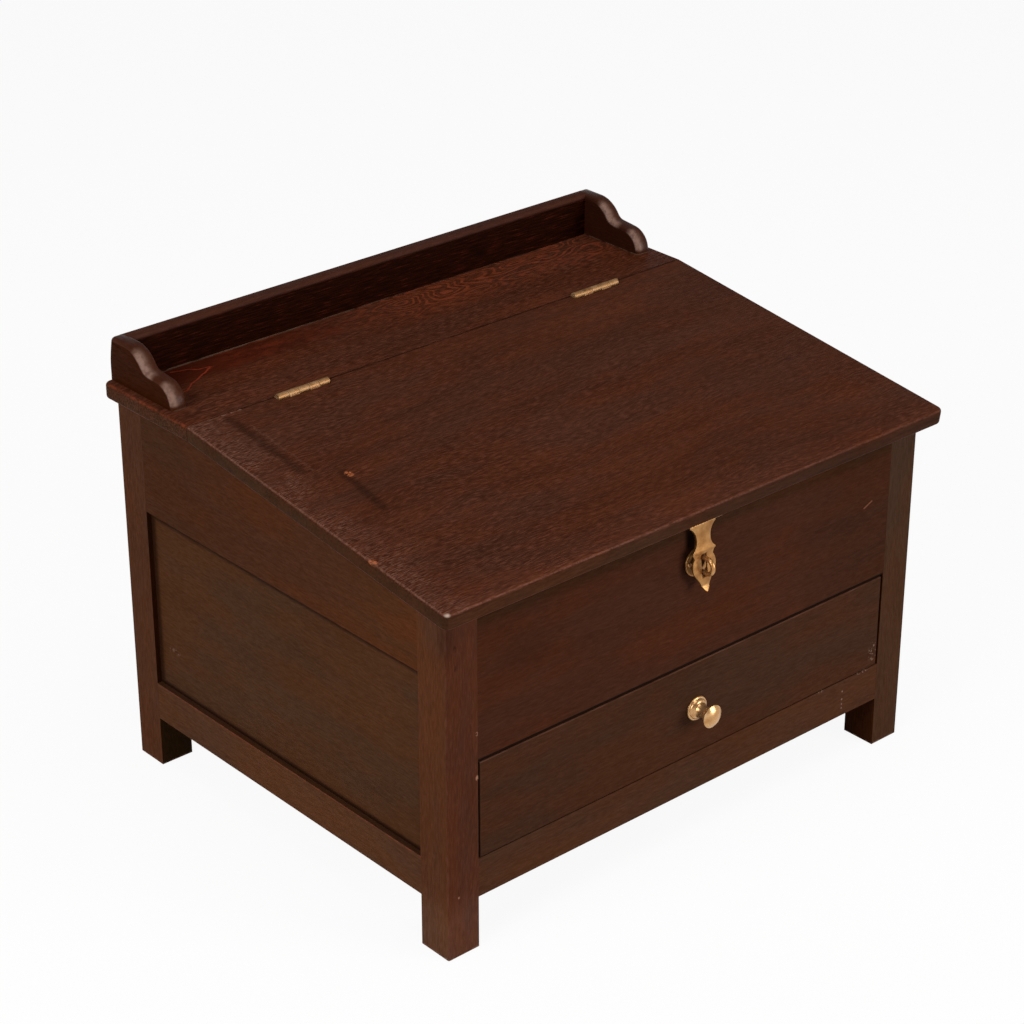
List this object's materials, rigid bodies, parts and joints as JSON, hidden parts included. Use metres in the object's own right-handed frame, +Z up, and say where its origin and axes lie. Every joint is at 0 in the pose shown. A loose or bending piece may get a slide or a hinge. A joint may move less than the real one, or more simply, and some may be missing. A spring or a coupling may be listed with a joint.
{
  "type": "letter writing box with drawer",
  "caption": "Wooden table-top writing box with a sloping hinged lid over a letter well, a gallery shelf, a hasp and staple, and a drawer below with a turned knob.",
  "frame": {"origin": "on the ground, midway between the outermost sides and between the knob's face and the back", "axes": "+X to the right seen from the front, +Y from front to back, +Z up"},
  "size_m": [0.42, 0.3396, 0.3055],
  "materials": {
    "frame_wood": "dark stained hardwood, satin polish",
    "panel_wood": "dark stained hardwood, satin polish",
    "top_wood": "dark stained open-grained hardwood, satin polish",
    "inner_wood": "unpolished hardwood",
    "brass": "bright polished brass, slightly worn"
  },
  "bodies": {
    "carcass": {"back_bottom_rail": "frame_wood", "back_panel": "panel_wood", "back_top_rail": "frame_wood", "bottom_board": "panel_wood", "drawer_guide_left": "inner_wood", "drawer_guide_right": "inner_wood", "drawer_runner_left": "inner_wood", "drawer_runner_right": "inner_wood", "drawer_stops": "inner_wood", "front_board": "frame_wood", "front_bottom_rail": "frame_wood", "gallery_back": "top_wood", "gallery_bracket_left": "top_wood", "gallery_bracket_right": "top_wood", "hinge_fixed_leaf_left": "brass", "hinge_fixed_leaf_right": "brass", "hinge_pin_left": "brass", "hinge_pin_right": "brass", "hinge_shelf_screws": "brass", "leg_back_left": "frame_wood", "leg_back_right": "frame_wood", "leg_front_left": "frame_wood", "leg_front_right": "frame_wood", "side_bottom_rail_left": "frame_wood", "side_bottom_rail_right": "frame_wood", "side_panel_left": "panel_wood", "side_panel_right": "panel_wood", "side_top_rail_left": "frame_wood", "side_top_rail_right": "frame_wood", "staple_loop": "brass", "staple_pins": "brass", "staple_plate": "brass", "top_shelf": "top_wood", "well_floor": "panel_wood", "well_ledger_left": "inner_wood", "well_ledger_right": "inner_wood"},
    "lid": {"hasp_leaf_screws": "brass", "hasp_lid_leaf": "brass", "hasp_pin": "brass", "hinge_lid_leaf_left": "brass", "hinge_lid_leaf_right": "brass", "hinge_lid_screws": "brass", "lid_board": "top_wood"},
    "hasp": {"hasp_strap": "brass"},
    "drawer": {"drawer_back": "inner_wood", "drawer_bottom": "inner_wood", "drawer_front": "frame_wood", "drawer_side_left": "inner_wood", "drawer_side_right": "inner_wood", "knob": "brass", "knob_screw": "brass"}
  },
  "joints": [
    {"name": "lid_open", "type": "hinge", "parent": "carcass", "child": "lid", "pos_m": [0.002, 0.07635, 0.2763], "axis": [-1, 0, 0], "range_deg": [0, 160]},
    {"name": "hasp_swing", "type": "hinge", "parent": "lid", "child": "hasp", "pos_m": [0.0005, -0.15485, 0.23183], "axis": [-1, 0, 0], "range_deg": [0, 78]},
    {"name": "drawer_slide", "type": "slide", "parent": "carcass", "child": "drawer", "axis": [0, -1, 0], "range_m": [0, 0.24]}
  ]
}
